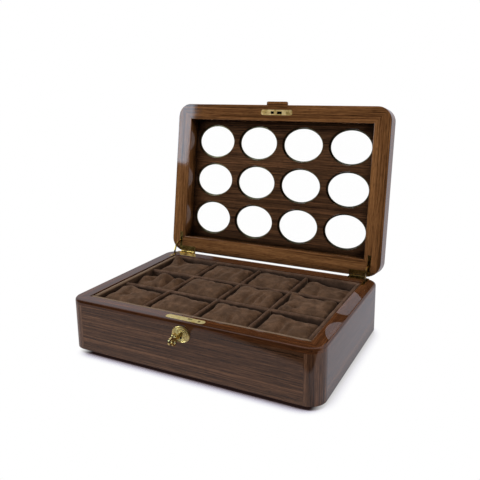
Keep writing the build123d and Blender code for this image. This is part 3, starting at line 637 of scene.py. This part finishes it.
# Beads, rings and collars on the brass: a round wire laid along an ellipse or an arc of one
def wireRing(shape, centre, wide, tall, tube, turn=(0, 360), steps=48, sides=8):
    centre, wide, tall = (Vector(v) * mm for v in (centre, wide, tall))
    axis = wide.cross(tall).normalized()
    closed = turn[1] - turn[0] >= 360
    rings = []
    for k in range(steps if closed else steps + 1):
        angle = math.radians(turn[0] + (turn[1] - turn[0]) * k / steps)
        out = wide * math.cos(angle) + tall * math.sin(angle)
        radial = out.normalized()
        ring = []
        for i in range(sides):
            side = 2 * math.pi * i / sides
            ring.append(shape.verts.new(
                centre + out + (radial * math.cos(side) + axis * math.sin(side)) * tube * mm))
        rings.append(ring)
    pairs = list(zip(rings, rings[1:]))
    if closed:
        pairs.append((rings[-1], rings[0]))
    else:
        shape.faces.new(rings[0])
        shape.faces.new(list(reversed(rings[-1])))
    for first, second in pairs:
        for i in range(sides):
            j = (i + 1) % sides
            shape.faces.new((first[i], second[i], second[j], first[j]))


def bead(shape, centre, radii):
    made = bmesh.ops.create_uvsphere(shape, u_segments=14, v_segments=9, radius=1.0)
    for vert in made["verts"]:
        vert.co = Vector([(centre[i] + vert.co[i] * radii[i]) * mm for i in range(3)])


keyPlan = {
    "middle": (0, -134.5, 55),       # of the bow, mm
    "lobe": 4.4, "ring": 3.1, "wire": 1.05,       # from the middle to a lobe's, its radius, its wire
    "notch": 1.15,                   # radius of the beads between the lobes
    "boss": (1.5, 1.9, 1.9),
    "collars": [(-124.2, 2.0, 0.7), (-126.2, 1.7, 0.5)],     # place, radius, wire
}
escutcheonPlan = {
    "face": -118.5, "height": 55,
    "rims": [(11.25, 9.25, 0.7), (8.7, 6.8, 0.3)],     # half width, half height, wire
    "keyholeRim": (3.1, 0.45),
    "petals": {"angles": (45, 135, 225, 315), "across": 6.0, "up": 4.8, "radii": (0.8, 0.45, 1.14)},
}


def dressKey():
    shape = bmesh.new()
    x, y, z = keyPlan["middle"]
    for third in range(3):
        angle = math.radians(120 * third)
        out = (-math.cos(angle) * keyPlan["lobe"], math.sin(angle) * keyPlan["lobe"])
        centre = (x, y + out[0], z + out[1])
        wireRing(shape, centre, (0, keyPlan["ring"], 0), (0, 0, keyPlan["ring"]), keyPlan["wire"], steps=28)
        between = math.radians(120 * third + 60)
        notch = (x, y - math.cos(between) * keyPlan["lobe"], z + math.sin(between) * keyPlan["lobe"])
        bead(shape, notch, [keyPlan["notch"]] * 3)
    bead(shape, (x, y, z), keyPlan["boss"])
    for place, radius, wire in keyPlan["collars"]:
        wireRing(shape, (x, place, z), (radius, 0, 0), (0, 0, radius), wire, steps=24)
    addPiece("key_bow_and_collars", finishMesh(shape, "keyBow"), "brass", "key")


def dressEscutcheon():
    shape = bmesh.new()
    centre = (0, escutcheonPlan["face"], escutcheonPlan["height"])
    for half, tall, wire in escutcheonPlan["rims"]:
        wireRing(shape, centre, (half, 0, 0), (0, 0, tall), wire, steps=64)
    radius, wire = escutcheonPlan["keyholeRim"]
    wireRing(shape, centre, (radius, 0, 0), (0, 0, radius), wire, turn=(-52, 232), steps=32)
    petals = escutcheonPlan["petals"]
    for angle in petals["angles"]:
        turn = math.radians(angle)
        place = (petals["across"] * math.cos(turn), centre[1], centre[2] + petals["up"] * math.sin(turn))
        bead(shape, place, petals["radii"])
    addPiece("escutcheon_beading", finishMesh(shape, "escutcheonBeading"), "brass", "base")


dressKey()
dressEscutcheon()
print("brass dressed")


# Stage: white paper on a table, soft boxes, and the camera at the photograph's view
stagePlan = {
    "shadowReach": 26,          # mm over which the contact shadow fades
    "sideBox": {"at": (-1.105, -0.61, 0.80), "facing": (0.87, 0.49, 0), "size": (0.9, 0.85), "power": 15,
                "colour": "#d3e9ff", "flagged": ("rim_front", "rim_left"), "mirrored": True},
    "topBox": {"at": (0.1, 0.1, 1.7), "facing": (-0.05, 0, -1), "size": (2.3, 1.9), "power": 26,
               "colour": "#fff8ee", "flagged": (), "mirrored": False},
    "fill": "#aeadb0",          # plain light from all round
    "roomGloss": "#cac9d1",     # the pale room behind the box, as the lacquer and brass see it
    "shadowStart": (-164, -140),       # mm from the middle: light reaches in under the left corner
    "shadowFade": (156, 170),          # mm, past which the shadow on the right is faint
    "faint": 0.4,
    "sideStart": (168, 185),           # mm, where the paper on the right begins, beside the wall
    "sideGloss": "#c9c9d2",     # the paper on the right, as the lacquer sees it
    "floorGloss": "#b1aeb2",    # the paper elsewhere
    "darkGloss": "#0c0b0b",     # the unlit room behind the camera
    "paperEdge": {"normal": (0.236, -0.972), "reach": 230, "blur": 6},    # mm, the table's end in front
    "floorHalf": 6,             # metres
    "floorDrop": 0.5,           # mm, so that it doesn't lie in the plane of the felt
    "cameraAt": (0.344792, -0.628496, 0.341765),
    "cameraTurn": (77.7024, 0.6232, 26.8968),
    "lens": 42.908,
    "shift": (-0.00956, -0.07623),   # the photograph was cropped a little off its centre
}


def softBox(name, box):
    lamp = bpy.data.lights.new(name, "AREA")
    lamp.shape = "RECTANGLE"
    lamp.size, lamp.size_y = box["size"]
    lamp.energy = box["power"]
    lamp.color = linear(box["colour"])[:3]
    holder = bpy.data.objects.new(name, lamp)
    bpy.context.scene.collection.objects.link(holder)
    holder.location = box["at"]
    holder.rotation_euler = Vector(box["facing"]).to_track_quat("-Z", "Y").to_euler()
    holder.visible_glossy = box["mirrored"]
    if box["flagged"]:                            # a flag keeps this lamp off the rounded rim
        shaded = bpy.data.collections.new(name + "Flag")
        for nodeName in box["flagged"]:
            shaded.objects.link(nodes[nodeName])
        for held in shaded.collection_objects:
            held.light_linking.link_state = "EXCLUDE"
        holder.light_linking.receiver_collection = shaded


# Mixes what the eye sees, what polished surfaces reflect and what lights the object
def sortRays(tree, seen, mirrored, lighting, output):
    rays = addNode(tree, "LightPath")
    direct = addNode(tree, "Math", {"operation": "MAXIMUM"}, {
        0: rays.outputs["Is Camera Ray"], 1: rays.outputs["Is Transmission Ray"]})
    shown = addNode(tree, "Math", {"operation": "MAXIMUM"}, {
        0: direct.outputs["Value"], 1: rays.outputs["Is Glossy Ray"]})
    bounced = addNode(tree, "Math", {"operation": "GREATER_THAN"}, {0: rays.outputs["Glossy Depth"], 1: 0.5})
    visible = addNode(tree, "MixShader", inputs={0: bounced.outputs["Value"], 1: seen, 2: mirrored})
    mixed = addNode(tree, "MixShader", inputs={
        0: shown.outputs["Value"], 1: lighting, 2: visible.outputs["Shader"]})
    tree.links.new(mixed.outputs["Shader"], tree.nodes[output].inputs["Surface"])


def whitePaper():
    material, tree, shader = newMaterial("whitePaper", {"Roughness": 0.9, "Base Color": linear("#f2f2f2")})
    shadow = addNode(tree, "AmbientOcclusion", {"samples": 16}, {"Distance": stagePlan["shadowReach"] * mm})
    tones = addNode(tree, "ValToRGB", inputs={"Fac": shadow.outputs["AO"]})
    setRamp(tones, [(0.36, linear("#1f1413")), (0.5, linear("#6a5c60")), (0.64, linear("#d6d3e2")),
                    (0.76, linear("#ffffff"))])
    place = addNode(tree, "TexCoord").outputs["Object"]
    across = addNode(tree, "SeparateXYZ", inputs={"Vector": place}).outputs["X"]
    start, fade, side = (stagePlan[k] for k in ("shadowStart", "shadowFade", "sideStart"))
    lit = addNode(tree, "MapRange", {"interpolation_type": "SMOOTHSTEP"}, {
        "Value": across, "From Min": start[0] * mm, "From Max": start[1] * mm})
    faint = addNode(tree, "MapRange", {"interpolation_type": "SMOOTHSTEP"}, {
        "Value": across, "From Min": fade[0] * mm, "From Max": fade[1] * mm,
        "To Min": 1.0, "To Max": stagePlan["faint"]})
    depth = addNode(tree, "Math", {"operation": "MULTIPLY"}, {
        0: lit.outputs["Result"], 1: faint.outputs["Result"]})
    contact = addNode(tree, "MixRGB", inputs={
        "Fac": depth.outputs["Value"], "Color1": linear("#ffffff"), "Color2": tones.outputs["Color"]})
    glow = addNode(tree, "Emission", inputs={"Color": contact.outputs["Color"], "Strength": 1.0})
    edge = stagePlan["paperEdge"]
    ahead = addNode(tree, "VectorMath", {"operation": "DOT_PRODUCT"}, {0: place, 1: (*edge["normal"], 0)})
    past = addNode(tree, "MapRange", inputs={
        "Value": ahead.outputs["Value"], "From Min": (edge["reach"] - edge["blur"]) * mm,
        "From Max": (edge["reach"] + edge["blur"]) * mm})
    beside = addNode(tree, "MapRange", inputs={
        "Value": across, "From Min": side[0] * mm, "From Max": side[1] * mm})
    paper = addNode(tree, "MixRGB", inputs={
        "Fac": beside.outputs["Result"], "Color1": linear(stagePlan["floorGloss"]),
        "Color2": linear(stagePlan["sideGloss"])})
    table = addNode(tree, "MixRGB", inputs={
        "Fac": past.outputs["Result"], "Color1": paper.outputs["Color"],
        "Color2": linear(stagePlan["darkGloss"])})
    mirrored = addNode(tree, "Emission", inputs={"Color": table.outputs["Color"], "Strength": 1.0})
    sortRays(tree, glow.outputs["Emission"], mirrored.outputs["Emission"], shader.outputs["BSDF"],
             "Material Output")
    return material


def buildFloor():
    mesh = bpy.data.meshes.new("floor")
    half = stagePlan["floorHalf"]
    mesh.from_pydata([(-half, -half, 0), (half, -half, 0), (half, half, 0), (-half, half, 0)], [],
                     [(0, 1, 2, 3)])
    mesh.materials.append(whitePaper())
    floor = bpy.data.objects.new("floor", mesh)
    bpy.context.scene.collection.objects.link(floor)
    floor.location.z = -stagePlan["floorDrop"] * mm


# White all round for the eye; in the gloss the studio is pale behind the box and dark in front
def studioWorld():
    world = bpy.data.worlds.new("studio")
    bpy.context.scene.world = world
    world.use_nodes = True
    tree = world.node_tree
    fill = tree.nodes["Background"]
    fill.inputs["Color"].default_value = linear(stagePlan["fill"])
    fill.inputs["Strength"].default_value = 1.0
    white = addNode(tree, "Background", inputs={"Color": linear("#ffffff"), "Strength": 1.0})
    direction = addNode(tree, "TexCoord").outputs["Generated"]
    parts = addNode(tree, "SeparateXYZ", inputs={"Vector": direction})
    depth = addNode(tree, "MapRange", inputs={
        "Value": parts.outputs["Y"], "From Min": -0.1, "From Max": 0.1})
    room = addNode(tree, "MixRGB", inputs={
        "Fac": depth.outputs["Result"], "Color1": linear(stagePlan["darkGloss"]),
        "Color2": linear(stagePlan["roomGloss"])})
    gloss = addNode(tree, "Background", inputs={"Color": room.outputs["Color"], "Strength": 1.0})
    sortRays(tree, white.outputs["Background"], gloss.outputs["Background"], fill.outputs["Background"],
             "World Output")


def placeCamera():
    data = bpy.data.cameras.new("camera")
    data.lens = stagePlan["lens"]
    data.shift_x, data.shift_y = stagePlan["shift"]
    data.clip_start = 0.01
    camera = bpy.data.objects.new("camera", data)
    bpy.context.scene.collection.objects.link(camera)
    camera.location = stagePlan["cameraAt"]
    camera.rotation_euler = [math.radians(a) for a in stagePlan["cameraTurn"]]
    bpy.context.scene.camera = camera


placeCamera()
buildFloor()
studioWorld()
for name in ("sideBox", "topBox"):
    softBox(name, stagePlan[name])
bpy.context.scene.view_settings.view_transform = "Standard"
print("stage done")
